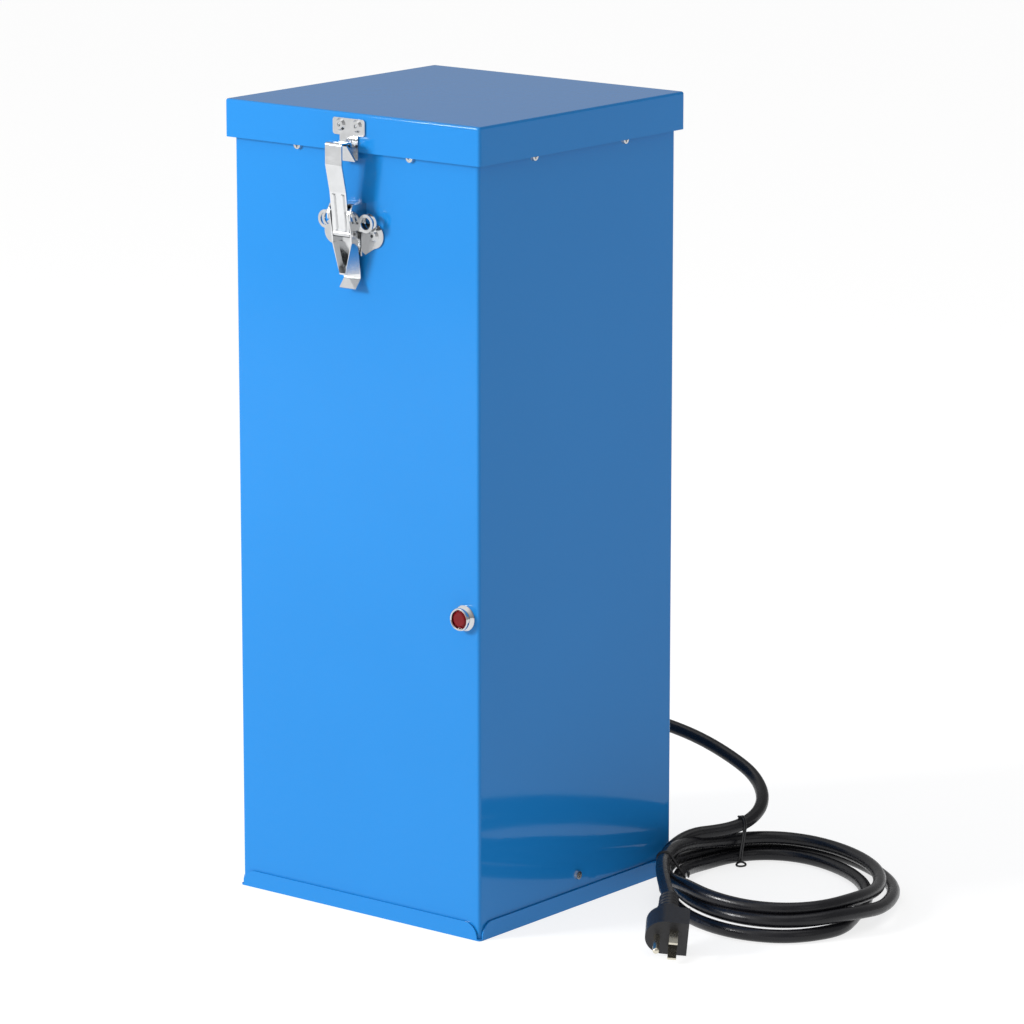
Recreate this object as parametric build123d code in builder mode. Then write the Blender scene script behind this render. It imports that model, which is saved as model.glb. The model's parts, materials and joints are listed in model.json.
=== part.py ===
from build123d import *
import math
import os

# Electrically heated storage oven for welding rods: a tall square sheet-metal casing with a
# gasketed, latched lid, an insulated inner liner, strip heaters, a pilot lamp and a mains cord.
# Millimetres. Origin at the centre of the base on the floor, +Z up, front face towards -Y.

# ---------------------------------------------------------------- driving dimensions
BODY_W = 230.0            # casing width, X
BODY_D = 230.0            # casing depth, Y
OVERALL_H = 598.0         # floor to the top of the lid
SHEET = 1.2               # casing, lid and base sheet
BEND_R = 2.4              # outside radius of the bent corners
FIT = 0.1                 # clearance between sheets that slide together

# lid
LID_H = 28.0              # height of the lid with its skirt
LID_OVERHANG = 5.0        # how far the lid stands out beyond the casing
COLLAR_DROP = 16.0        # from the top of the lid down to the rim of the casing
TRAY_INSET = 8.0          # lid tray inside the casing's outline
GASKET_T = 1.9
GASKET_W = 16.0
GASKET_GAP = 0.3          # between the gasket and the rim
GASKET_MARGIN = 6.0       # from the liner mouth to the gasket

# base pan
PAN_FLANGE_H = 12.8
PAN_END_R = 11.0          # rounded ends of the base flanges
PAN_FIT = 0.35            # between the flanges and the casing
PAN_CORNER = 2.0          # how far the flanges stop short of the corners

# liner, insulation and heaters
CHAMBER_W = 132.0         # liner width inside
LINER_SHEET = 1.0
FLOOR_SLAB_H = 40.6       # insulation under the liner
COLLAR_FLANGE = 26.0      # outer flange of the collar, down inside the casing
COLLAR_LIP = 12.0         # inner flange of the collar, down inside the liner
HEATER_T = 4.0
HEATER_W = 100.0
HEATER_H = 260.0
HEATER_RISE = 30.0        # from the liner floor to the heaters
HEATER_GAP = 1.0          # from the heaters to the insulation
INSULATION_GAP = 0.5
DECK_Z = 50.0             # top of the wiring space
BRACKET_DROP = 36.0       # legs of the support bracket
SIDE_SCREW_Z = 23.6

# collar screws and side screws
SCREW_D = 4.0
SCREW_HEAD_D = 7.0
SCREW_HEAD_H = 2.2
SCREW_L = 9.0
COLLAR_SCREW_X = 53.0     # either side of the middle of each face
COLLAR_SCREW_DROP = 12.5  # below the rim
RECESS_W = 1.0            # cross recess
RECESS_L = 3.8
RECESS_DEPTH = 1.3

# pilot lamp
LAMP_INSET = 13.5         # from the right edge of the casing
LAMP_Z = 240.0
LAMP_FLANGE_D = 19.0
LAMP_BEZEL_D = 16.6
LAMP_BEZEL_H = 7.2
LAMP_LENS_D = 13.6
LAMP_BARREL_D = 11.0
LAMP_BARREL_L = 26.0
LAMP_NUT_T = 3.0
CHASE_W = 21.0            # wiring chase in the front slab
CHASE_D = 36.0

# hinge
LEAF_T = 1.0
PIN_D = 2.4
PIN_CLEARANCE = 0.05
HINGE_L = 200.0
KNUCKLES = 10
KNUCKLE_GAP = 0.3
KNUCKLE_DROP = 2.8        # hinge axis below the skirt
KNUCKLE_OUT = 3.4         # hinge axis behind the casing
LEAF_H = 26.0             # flat of the casing leaf
SLANT_H = 9.5             # height of its slanted stretch
LID_LEAF_H = 18.0

# latch
LATCH_SHEET = 1.2
KEEPER_W = 30.0
KEEPER_TOP = 4.0          # below the top of the lid
KEEPER_H = 12.3
KEEPER_NECK_W = 17.0
KEEPER_RIVET_X = 7.8
KEEPER_RIVET_DROP = 9.0
HOOK_OUT = 18.6           # tip of the keeper hook, out from the casing; drops are below the lid's top
HOOK_TIP_DROP = 22.2
HOOK_FOOT_DROP = 34.2
HOOK_CLEARANCE = 1.2
BASE_RIVET_X = 18.5
BASE_RIVET_DROP = 88.0
BASE_EAR_R = 9.3
BASE_TIP_X = 10.0
BASE_TIP_DROP = 103.0
BASE_TOP_DROP = 65.0
CHEEK_GAP = 0.3           # between the lever and the cheeks
LEVER_W = 18.8
ARM_CLEARANCE = 0.5       # between the arm and the lever, each side
FULCRUM_OUT = 14.8        # lever pivot, out from the casing
FULCRUM_DROP = 71.5
FULCRUM_D = 3.2
ARM_PIN_OUT = 12.4        # arm pivot, out from the casing
ARM_PIN_DROP = 86.5
ARM_PIN_D = 3.2
ARM_FACE_OUT = 23.3       # face of the arm at its top
ARM_KNEE_DROP = 36.0      # where the arm starts to slant in
ARM_WAIST_OUT = 18.7
ARM_WAIST_DROP = 56.0
TROUGH_TOP_DROP = 93.0
TROUGH_TIP_DROP = 116.5
TROUGH_FRONT_OUT = 14.6
TROUGH_BACK_OUT = 8.0
TROUGH_TIP_W = 5.0
TONGUE_W = 15.4
TONGUE_OUT = 3.0
TONGUE_DROP = 120.0
TAB_OUT = 8.6
TAB_DROP = 127.0
EYE_X = 19.0
EYE_DROP = 78.0
EYE_D = 13.4
EYE_HOLE_D = 9.0
LEVER_EYE_OUT = 10.6
BASE_EYE_OUT = 6.3
RIVET_HEAD_D = 9.4
RIVET_HEAD_H = 1.8
RIVET_D = 4.8
RIVET_BORE_D = 2.6

# mains cord
CORD_D = 10.0
GLAND_X = 12.0
GLAND_Z = 98.0
GLAND_OUT = 18.0
GLAND_D = 17.0
GLAND_FLANGE_D = 22.0
GLAND_FLANGE_T = 3.0
GLAND_TIP_D = 12.6
GLAND_BARREL_D = 14.0
GLAND_BARREL_L = 11.0
LOCKNUT_T = 4.0
LOCKNUT_AF = 20.0

# ---------------------------------------------------------------- derived places
FRONT_Y = -BODY_D / 2
BACK_Y = BODY_D / 2
LAMP_X = BODY_W / 2 - LAMP_INSET
INNER_W = BODY_W - 2 * SHEET
INNER_D = BODY_D - 2 * SHEET
RIM_Z = OVERALL_H - COLLAR_DROP
SKIRT_Z = OVERALL_H - LID_H
LINER_W = CHAMBER_W + 2 * LINER_SHEET
SLAB_Z = DECK_Z + SHEET
LINER_FLOOR_Z = SLAB_Z + FLOOR_SLAB_H + LINER_SHEET
CHAMBER_H = RIM_Z - SHEET - LINER_FLOOR_Z
HINGE_Y = BACK_Y + KNUCKLE_OUT
HINGE_Z = SKIRT_Z - KNUCKLE_DROP
LID_W = BODY_W + 2 * LID_OVERHANG
LID_D = BODY_D + 2 * LID_OVERHANG
KEEPER_BACK_OUT = LID_OVERHANG
HOOK_TIP_Z = OVERALL_H - HOOK_TIP_DROP
HOOK_FOOT_Z = OVERALL_H - HOOK_FOOT_DROP
BASE_RIVET_Z = OVERALL_H - BASE_RIVET_DROP
BASE_TIP_Z = OVERALL_H - BASE_TIP_DROP
BASE_TOP_Z = OVERALL_H - BASE_TOP_DROP
FULCRUM_Z = OVERALL_H - FULCRUM_DROP
ARM_PIN_Z = OVERALL_H - ARM_PIN_DROP
TROUGH_TOP_Z = OVERALL_H - TROUGH_TOP_DROP
TROUGH_TIP_Z = OVERALL_H - TROUGH_TIP_DROP
TONGUE_Z = OVERALL_H - TONGUE_DROP
TAB_Z = OVERALL_H - TAB_DROP
EYE_Z = OVERALL_H - EYE_DROP

os.makedirs("parts", exist_ok=True)


def front(out=0.0):
    """Plane parallel to the front face, a distance out from it, X to the right and Z up."""
    return Plane.XZ.offset(-FRONT_Y + out)


def back(out=0.0):
    """Plane parallel to the back face, seen from behind."""
    return Plane(origin=(0, BACK_Y + out, 0), x_dir=(-1, 0, 0), z_dir=(0, 1, 0))


def side(sign, out=0.0):
    """Plane parallel to the right (+1) or left (-1) face, seen from outside."""
    return Plane(origin=(sign * (BODY_W / 2 + out), 0, 0), x_dir=(0, sign, 0), z_dir=(sign, 0, 0))


def at(out, z):
    """Point of a side view of the latch, from its distance out from the front face."""
    return (FRONT_Y - out, z)


def save(part, name):
    part.label = name
    export_step(part, f"parts/{name}.step")


def disc(plane, x, z, diameter, amount, mode=Mode.ADD):
    """Cylinder that stands on a plane at the point x, z of it."""
    with BuildSketch(plane) as outline:
        with Locations((x, z)):
            Circle(diameter / 2)
    extrude(outline.sketch, amount=amount, mode=mode)


def pan_head_screw(plane, x, z, length):
    """Pan-head screw with a cross recess, its head standing on a plane."""
    with BuildSketch(plane) as head:
        with Locations((x, z)):
            Circle(SCREW_HEAD_D / 2)
    extrude(head.sketch, amount=SCREW_HEAD_H, taper=12)
    disc(plane, x, z, SCREW_D, -length)
    with BuildSketch(plane.offset(SCREW_HEAD_H)) as recess:
        with Locations((x, z)):
            Rectangle(RECESS_L, RECESS_W)
            Rectangle(RECESS_W, RECESS_L)
    extrude(recess.sketch, amount=-RECESS_DEPTH, mode=Mode.SUBTRACT)


def blind_rivet(plane, x, z, length, head_d=RIVET_HEAD_D, head_h=RIVET_HEAD_H):
    """Blind rivet with a bored domed head on a plane and its shank through the sheets behind."""
    with BuildSketch(plane) as head:
        with Locations((x, z)):
            Circle(head_d / 2)
    extrude(head.sketch, amount=head_h, taper=35)
    disc(plane, x, z, RIVET_D, -length)
    disc(plane.offset(head_h), x, z, RIVET_BORE_D, -(head_h + length / 2), Mode.SUBTRACT)


def square_tube(outside_w, outside_d, wall, z, height, radius=0.0):
    """Upright open square tube with its lower end at z."""
    with BuildSketch(Plane.XY.offset(z)) as section:
        if radius > wall:
            RectangleRounded(outside_w, outside_d, radius)
            RectangleRounded(outside_w - 2 * wall, outside_d - 2 * wall, radius - wall, mode=Mode.SUBTRACT)
        else:
            Rectangle(outside_w, outside_d)
            Rectangle(outside_w - 2 * wall, outside_d - 2 * wall, mode=Mode.SUBTRACT)
    extrude(section.sketch, amount=height)


# ---------------------------------------------------------------- casing and base
HINGE_RIVETS = 5
HINGE_RIVET_Z = HINGE_Z - SLANT_H - LEAF_H / 2
HINGE_RIVET_PITCH = HINGE_L / HINGE_RIVETS
hinge_rivet_x = [(i - (HINGE_RIVETS - 1) / 2) * HINGE_RIVET_PITCH for i in range(HINGE_RIVETS)]
collar_screw_z = RIM_Z - COLLAR_SCREW_DROP
collar_faces = [front(), side(1), side(-1)]

with BuildPart() as outer_casing:
    square_tube(BODY_W, BODY_D, SHEET, SHEET, RIM_Z - SHEET, BEND_R)
    for face in collar_faces:
        for x in (-COLLAR_SCREW_X, COLLAR_SCREW_X):
            disc(face, x, collar_screw_z, SCREW_D, -2 * SHEET, Mode.SUBTRACT)
    for sign in (1, -1):
        disc(side(sign), 0, SIDE_SCREW_Z, SCREW_D, -2 * SHEET, Mode.SUBTRACT)
    for x in (-BASE_RIVET_X, BASE_RIVET_X):
        disc(front(), x, BASE_RIVET_Z, RIVET_D, -2 * SHEET, Mode.SUBTRACT)
    disc(front(), LAMP_X, LAMP_Z, LAMP_BARREL_D, -2 * SHEET, Mode.SUBTRACT)
    disc(back(), -GLAND_X, GLAND_Z, GLAND_BARREL_D, -2 * SHEET, Mode.SUBTRACT)
    for x in hinge_rivet_x:
        disc(back(), x, HINGE_RIVET_Z, RIVET_D, -2 * SHEET, Mode.SUBTRACT)
save(outer_casing.part, "outer_casing")


pan_w = BODY_W + 2 * PAN_FIT
pan_d = BODY_D + 2 * PAN_FIT
with BuildPart() as base_pan:
    with BuildSketch():
        RectangleRounded(pan_w + 2 * SHEET, pan_d + 2 * SHEET, BEND_R)
    extrude(amount=SHEET)
    for plane, width in (
        (front(PAN_FIT), pan_w),
        (back(PAN_FIT), pan_w),
        (side(1, PAN_FIT), pan_d),
        (side(-1, PAN_FIT), pan_d),
    ):
        with BuildSketch(plane) as flange:
            with Locations((0, PAN_FLANGE_H / 2)):
                Rectangle(width - 2 * PAN_CORNER, PAN_FLANGE_H)
            fillet(flange.vertices().group_by(Axis.Y)[-1], PAN_END_R)
        extrude(amount=SHEET)
save(base_pan.part, "base_pan")

# ---------------------------------------------------------------- wiring space
bracket_w = INNER_W - 2 * FIT
GLAND_CHASE_W = 40.0
LEAD_HOLE_D = 4.0
LEAD_D = 2.6
heater_lead_y = (-30.0, 30.0)
heater_lead_x = LINER_W / 2 + HEATER_T / 2
lamp_lead_x = (LAMP_X - 2.5, LAMP_X + 2.5)
lamp_lead_y = FRONT_Y + LAMP_BARREL_L + 3.0

with BuildPart() as support_bracket:
    with BuildSketch(Plane.XY.offset(DECK_Z)):
        RectangleRounded(bracket_w, INNER_D - 2 * FIT, BEND_R)
    extrude(amount=SHEET)
    for sign in (1, -1):
        with BuildSketch(side(sign, -SHEET - FIT)):
            with Locations((0, DECK_Z - BRACKET_DROP / 2)):
                Rectangle(INNER_D / 2, BRACKET_DROP)
        extrude(amount=-SHEET)
        disc(side(sign), 0, SIDE_SCREW_Z, SCREW_D, -4 * SHEET, Mode.SUBTRACT)
    with BuildSketch(Plane.XY.offset(DECK_Z)):
        with Locations(*[(s * heater_lead_x, y) for s in (1, -1) for y in heater_lead_y]):
            Circle(LEAD_HOLE_D / 2)
        with Locations((INNER_W / 2 - CHASE_W / 2, -INNER_D / 2 + CHASE_D / 2)):
            Rectangle(CHASE_W - 6, CHASE_D - 6)
        with Locations((GLAND_X, INNER_D / 2 - CHASE_D / 2)):
            Rectangle(GLAND_CHASE_W - 8, CHASE_D - 8)
    extrude(amount=SHEET, mode=Mode.SUBTRACT)
save(support_bracket.part, "support_bracket")

with BuildPart() as side_screws:
    for sign in (1, -1):
        pan_head_screw(side(sign), 0, SIDE_SCREW_Z, SCREW_L)
save(side_screws.part, "side_screws")

TERMINAL_W = 48.0
TERMINAL_D = 20.0
TERMINAL_H = 14.0
TERMINAL_Y = 20.0
TERMINAL_SCREW_D = 5.0
TERMINAL_PITCH = 12.0
TERMINAL_WELL = 5.0       # depth of the wells over the screws
terminal_x = [(i - 1.5) * TERMINAL_PITCH for i in range(4)]
with BuildPart() as terminal_block:
    with BuildSketch(Plane.XY.offset(SHEET)):
        with Locations((0, TERMINAL_Y)):
            Rectangle(TERMINAL_W, TERMINAL_D)
    extrude(amount=TERMINAL_H)
    with BuildSketch(Plane.XY.offset(SHEET + TERMINAL_H)):
        with Locations(*[(x, TERMINAL_Y) for x in terminal_x]):
            Rectangle(9.0, TERMINAL_D - 5)
    extrude(amount=-TERMINAL_WELL, mode=Mode.SUBTRACT)
save(terminal_block.part, "terminal_block")

with BuildPart() as terminal_screws:
    for x in terminal_x:
        for y in (TERMINAL_Y - 4.0, TERMINAL_Y + 4.0):
            disc(Plane.XY.offset(SHEET + TERMINAL_H - TERMINAL_WELL), x, y, TERMINAL_SCREW_D, 3.0)
            with BuildSketch(Plane.XY.offset(SHEET + TERMINAL_H - 2.0)):
                with Locations((x, y)):
                    Rectangle(TERMINAL_SCREW_D + 1, 0.9)
            extrude(amount=-1.0, mode=Mode.SUBTRACT)
save(terminal_screws.part, "terminal_screws")

# ---------------------------------------------------------------- liner, heaters, insulation
with BuildPart() as inner_liner:
    with BuildSketch(Plane.XY.offset(LINER_FLOOR_Z - LINER_SHEET)):
        Rectangle(LINER_W, LINER_W)
    extrude(amount=LINER_SHEET)
    square_tube(LINER_W, LINER_W, LINER_SHEET, LINER_FLOOR_Z, CHAMBER_H)
save(inner_liner.part, "inner_liner")

heater_z = LINER_FLOOR_Z + HEATER_RISE
for sign, name in ((1, "heater_right"), (-1, "heater_left")):
    with BuildPart() as strip_heater:
        with BuildSketch(Plane.YZ.offset(sign * LINER_W / 2)):
            with Locations((0, heater_z + HEATER_H / 2)):
                Rectangle(HEATER_W, HEATER_H)
        extrude(amount=sign * HEATER_T)
        fillet(strip_heater.edges().filter_by(Axis.X), 3.0)
    save(strip_heater.part, name)

slab_inner = LINER_W / 2 + HEATER_T + HEATER_GAP
slab_h = RIM_Z - COLLAR_LIP - SLAB_Z
SLAB_TOP_GAP = COLLAR_FLANGE - COLLAR_LIP + 1.0
slab_t_y = INNER_D / 2 - slab_inner - INSULATION_GAP
slab_t_x = INNER_W / 2 - slab_inner - INSULATION_GAP
upright_h = slab_h - SLAB_TOP_GAP

with BuildPart() as insulation_front:
    with BuildSketch(Plane.XY.offset(SLAB_Z)):
        with Locations((0, -slab_inner - slab_t_y / 2)):
            Rectangle(INNER_W - 2 * INSULATION_GAP, slab_t_y)
    extrude(amount=upright_h)
    with BuildSketch(Plane.XY.offset(SLAB_Z)):
        with Locations((INNER_W / 2 - CHASE_W / 2, -INNER_D / 2 + CHASE_D / 2)):
            Rectangle(CHASE_W, CHASE_D)
    extrude(amount=LAMP_Z - SLAB_Z + LAMP_BARREL_D, mode=Mode.SUBTRACT)
    for x in (-BASE_RIVET_X, BASE_RIVET_X):
        disc(front(-SHEET), x, BASE_RIVET_Z, RIVET_D + 4, -8.0, Mode.SUBTRACT)
save(insulation_front.part, "insulation_front")

with BuildPart() as insulation_back:
    with BuildSketch(Plane.XY.offset(SLAB_Z)):
        with Locations((0, slab_inner + slab_t_y / 2)):
            Rectangle(INNER_W - 2 * INSULATION_GAP, slab_t_y)
    extrude(amount=upright_h)
    with BuildSketch(Plane.XY.offset(SLAB_Z)):
        with Locations((GLAND_X, INNER_D / 2 - CHASE_D / 2)):
            Rectangle(GLAND_CHASE_W, CHASE_D)
    extrude(amount=GLAND_Z - SLAB_Z + GLAND_FLANGE_D, mode=Mode.SUBTRACT)
    for x in hinge_rivet_x:
        disc(back(-SHEET), x, HINGE_RIVET_Z, RIVET_D + 4, -8.0, Mode.SUBTRACT)
save(insulation_back.part, "insulation_back")

side_slab_d = 2 * slab_inner - 2 * INSULATION_GAP
for sign, name in ((1, "insulation_right"), (-1, "insulation_left")):
    with BuildPart() as side_slab:
        with BuildSketch(Plane.XY.offset(SLAB_Z)):
            with Locations((sign * (slab_inner + slab_t_x / 2), 0)):
                Rectangle(slab_t_x, side_slab_d)
        extrude(amount=upright_h)
    save(side_slab.part, name)

floor_slab_w = 2 * slab_inner - 2 * INSULATION_GAP
with BuildPart() as insulation_floor:
    with BuildSketch(Plane.XY.offset(SLAB_Z)):
        Rectangle(floor_slab_w, floor_slab_w)
        with Locations(*[(s * heater_lead_x, y) for s in (1, -1) for y in heater_lead_y]):
            Circle(LEAD_HOLE_D / 2, mode=Mode.SUBTRACT)
    extrude(amount=FLOOR_SLAB_H)
save(insulation_floor.part, "insulation_floor")

THERMOSTAT_D = 16.0
THERMOSTAT_X = 34.0
with BuildPart() as thermostat:
    with BuildSketch(Plane.XZ.offset(LINER_W / 2)):
        with Locations((THERMOSTAT_X, heater_z)):
            Circle(THERMOSTAT_D / 2)
    extrude(amount=HEATER_T)
    with BuildSketch(Plane.XZ.offset(LINER_W / 2)):
        with Locations((THERMOSTAT_X, heater_z)):
            SlotOverall(THERMOSTAT_D + 14, 7.0)
    extrude(amount=1.0)
save(thermostat.part, "thermostat")

# ---------------------------------------------------------------- collar
collar_w = INNER_W - 2 * FIT
collar_d = INNER_D - 2 * FIT
mouth_w = CHAMBER_W - 2 * FIT
with BuildPart() as collar_frame:
    with BuildSketch(Plane.XY.offset(RIM_Z - SHEET)):
        RectangleRounded(collar_w, collar_d, BEND_R)
        Rectangle(mouth_w - 2 * SHEET, mouth_w - 2 * SHEET, mode=Mode.SUBTRACT)
    extrude(amount=SHEET)
    square_tube(collar_w, collar_d, SHEET, RIM_Z - COLLAR_FLANGE, COLLAR_FLANGE, BEND_R)
    square_tube(mouth_w, mouth_w, SHEET, RIM_Z - COLLAR_LIP, COLLAR_LIP)
    for face in collar_faces:
        for x in (-COLLAR_SCREW_X, COLLAR_SCREW_X):
            disc(face, x, collar_screw_z, SCREW_D, -4 * SHEET, Mode.SUBTRACT)
save(collar_frame.part, "collar_frame")

with BuildPart() as collar_screws:
    for face in collar_faces:
        for x in (-COLLAR_SCREW_X, COLLAR_SCREW_X):
            pan_head_screw(face, x, collar_screw_z, SCREW_L)
save(collar_screws.part, "collar_screws")

# ---------------------------------------------------------------- pilot lamp
lamp_axis = Axis((LAMP_X, 0, LAMP_Z), (0, 1, 0))
lamp_plane = Plane(origin=(LAMP_X, FRONT_Y, LAMP_Z), x_dir=(1, 0, 0), z_dir=(0, 0, 1))
LENS_SEAT = 3.4           # depth of the lens seat below the bezel's rim
LAMP_FLANGE_T = 1.2
RIM_ROUND = 0.6
with BuildPart() as lamp_bezel:
    with BuildSketch(lamp_plane):
        with BuildLine():
            Polyline(
                (LAMP_LENS_D / 2 - 1.6, -LAMP_BEZEL_H + LENS_SEAT),
                (LAMP_LENS_D / 2 + FIT, -LAMP_BEZEL_H + LENS_SEAT),
                (LAMP_LENS_D / 2 + FIT, -LAMP_BEZEL_H + RIM_ROUND),
                (LAMP_LENS_D / 2 + FIT + RIM_ROUND, -LAMP_BEZEL_H),
                (LAMP_BEZEL_D / 2 - RIM_ROUND, -LAMP_BEZEL_H),
                (LAMP_BEZEL_D / 2, -LAMP_BEZEL_H + RIM_ROUND),
                (LAMP_BEZEL_D / 2, -LAMP_BEZEL_H + 2 * LAMP_FLANGE_T),
                (LAMP_BEZEL_D / 2 - LAMP_FLANGE_T, -2 * LAMP_FLANGE_T),
                (LAMP_FLANGE_D / 2 - RIM_ROUND, -LAMP_FLANGE_T),
                (LAMP_FLANGE_D / 2, -RIM_ROUND),
                (LAMP_FLANGE_D / 2, 0),
                (LAMP_LENS_D / 2 - 1.6, 0),
                close=True,
            )
        make_face()
    revolve(axis=lamp_axis)
save(lamp_bezel.part, "lamp_bezel")

LENS_FACETS = 12
with BuildPart() as lamp_lens:
    with BuildSketch(front(LAMP_BEZEL_H - LENS_SEAT)):
        with Locations((LAMP_X, LAMP_Z)):
            Circle(LAMP_LENS_D / 2)
    extrude(amount=1.2)
    with BuildSketch(front(LAMP_BEZEL_H - LENS_SEAT + 1.2)):
        with Locations((LAMP_X, LAMP_Z)):
            RegularPolygon(LAMP_LENS_D / 2, LENS_FACETS)
    extrude(amount=1.6, taper=48)
save(lamp_lens.part, "lamp_lens")

barrel_front = LAMP_LENS_D / 2 - 1.6 - FIT
with BuildPart() as lamp_barrel:
    disc(front(), LAMP_X, LAMP_Z, 2 * barrel_front, LAMP_BEZEL_H - LENS_SEAT)
    disc(front(), LAMP_X, LAMP_Z, LAMP_BARREL_D - 2 * FIT, -LAMP_BARREL_L)
    disc(front(LAMP_BEZEL_H - LENS_SEAT), LAMP_X, LAMP_Z, 7.0, -16.0, Mode.SUBTRACT)
save(lamp_barrel.part, "lamp_barrel")

with BuildPart() as lamp_bulb:
    disc(front(-12.0 + FIT), LAMP_X, LAMP_Z, 5.0, 10.0)
    fillet(lamp_bulb.edges().group_by(Axis.Y)[0], 2.0)
save(lamp_bulb.part, "lamp_bulb")

with BuildPart() as lamp_nut:
    with BuildSketch(front(-SHEET)):
        with Locations((LAMP_X, LAMP_Z)):
            RegularPolygon(8.0, 6)
            Circle(LAMP_BARREL_D / 2, mode=Mode.SUBTRACT)
    extrude(amount=-LAMP_NUT_T)
save(lamp_nut.part, "lamp_nut")

# ---------------------------------------------------------------- leads
def tube(points, diameter, radius):
    """Round lead along straight runs joined by equal arcs."""
    with BuildLine() as route:
        FilletPolyline(*points, radius=radius)
    path = route.wires()[0]
    with BuildSketch(Plane(origin=path @ 0, z_dir=path % 0)) as section:
        Circle(diameter / 2)
    sweep(section.sketch, path=path)


lead_drops = (26.0, 33.0)
lead_rows = (TERMINAL_Y - 4.0, TERMINAL_Y + 4.0)
with BuildPart() as heater_leads:
    for s, terminals in ((1, (3, 2)), (-1, (0, 1))):
        for y, terminal, drop, row in zip(heater_lead_y, terminals, lead_drops, lead_rows):
            tube(
                [
                    (s * heater_lead_x, y, heater_z),
                    (s * heater_lead_x, y, drop),
                    (terminal_x[terminal], row, drop - 1.0),
                    (terminal_x[terminal], row, SHEET + TERMINAL_H - 2.0),
                ],
                LEAD_D,
                4.0,
            )
save(heater_leads.part, "heater_leads")

# ---------------------------------------------------------------- lid
lid_inner_w = LID_W - 2 * SHEET
with BuildPart() as lid_shell:
    with BuildSketch(Plane.XY.offset(SKIRT_Z)):
        RectangleRounded(LID_W, LID_D, BEND_R)
    extrude(amount=LID_H)
    fillet(lid_shell.faces().sort_by(Axis.Z)[-1].edges(), BEND_R - 0.6)
    with BuildSketch(Plane.XY.offset(SKIRT_Z)):
        RectangleRounded(LID_W - 2 * SHEET, LID_D - 2 * SHEET, BEND_R - SHEET)
    extrude(amount=LID_H - SHEET, mode=Mode.SUBTRACT)
    for x in (-KEEPER_RIVET_X, KEEPER_RIVET_X):
        disc(front(LID_OVERHANG), x, OVERALL_H - KEEPER_RIVET_DROP, RIVET_D, -2 * SHEET, Mode.SUBTRACT)
save(lid_shell.part, "lid_shell")

tray_w = BODY_W - TRAY_INSET
tray_d = BODY_D - TRAY_INSET
TRAY_SHEET = 1.0
tray_z = RIM_Z + GASKET_GAP + GASKET_T
tray_top = OVERALL_H - SHEET
with BuildPart() as lid_tray:
    with BuildSketch(Plane.XY.offset(tray_z)):
        Rectangle(tray_w, tray_d)
    extrude(amount=TRAY_SHEET)
    square_tube(tray_w, tray_d, TRAY_SHEET, tray_z, tray_top - tray_z)
save(lid_tray.part, "lid_tray")

with BuildPart() as lid_insulation:
    with BuildSketch(Plane.XY.offset(tray_z + TRAY_SHEET)):
        Rectangle(tray_w - 2 * TRAY_SHEET - 2 * FIT, tray_d - 2 * TRAY_SHEET - 2 * FIT)
    extrude(amount=tray_top - tray_z - TRAY_SHEET)
save(lid_insulation.part, "lid_insulation")

gasket_in = mouth_w - 2 * SHEET + 2 * GASKET_MARGIN
with BuildPart() as lid_gasket:
    with BuildSketch(Plane.XY.offset(tray_z)):
        Rectangle(gasket_in + 2 * GASKET_W, gasket_in + 2 * GASKET_W)
        Rectangle(gasket_in, gasket_in, mode=Mode.SUBTRACT)
    extrude(amount=-GASKET_T)
save(lid_gasket.part, "lid_gasket")

# ---------------------------------------------------------------- hinge
BORE_R = PIN_D / 2 + PIN_CLEARANCE
KNUCKLE_R = BORE_R + LEAF_T
knuckle_pitch = HINGE_L / KNUCKLES
knuckle_l = knuckle_pitch - KNUCKLE_GAP
knuckle_x = [(i - (KNUCKLES - 1) / 2) * knuckle_pitch for i in range(KNUCKLES)]
SWEEP_R = KNUCKLE_R + 0.4


def hinge_cylinder(x, length, radius, mode=Mode.ADD):
    """Cylinder on the hinge axis, centred at x."""
    with BuildSketch(Plane.YZ.offset(x)) as section:
        with Locations((HINGE_Y, HINGE_Z)):
            Circle(radius)
    extrude(section.sketch, amount=length / 2, both=True, mode=mode)


with BuildPart() as hinge_leaf_casing:
    with BuildSketch(Plane.YZ):
        with BuildLine():
            Polyline(
                (BACK_Y, HINGE_Z - SLANT_H - LEAF_H),
                (BACK_Y + LEAF_T, HINGE_Z - SLANT_H - LEAF_H),
                (BACK_Y + LEAF_T, HINGE_Z - SLANT_H),
                (HINGE_Y + BORE_R + LEAF_T / 2, HINGE_Z),
                (HINGE_Y, HINGE_Z + BORE_R + LEAF_T / 2),
                (HINGE_Y - BORE_R, HINGE_Z),
                (BACK_Y, HINGE_Z - SLANT_H),
                close=True,
            )
        make_face()
    extrude(amount=HINGE_L / 2, both=True)
    for x in knuckle_x[1::2]:
        hinge_cylinder(x, knuckle_pitch + KNUCKLE_GAP, SWEEP_R, Mode.SUBTRACT)
    for x in knuckle_x[0::2]:
        hinge_cylinder(x, knuckle_l, KNUCKLE_R)
    hinge_cylinder(0, HINGE_L + 1, BORE_R, Mode.SUBTRACT)
    for x in hinge_rivet_x:
        disc(back(LEAF_T), x, HINGE_RIVET_Z, RIVET_D, -2 * LEAF_T, Mode.SUBTRACT)
save(hinge_leaf_casing.part, "hinge_leaf_casing")

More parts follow.
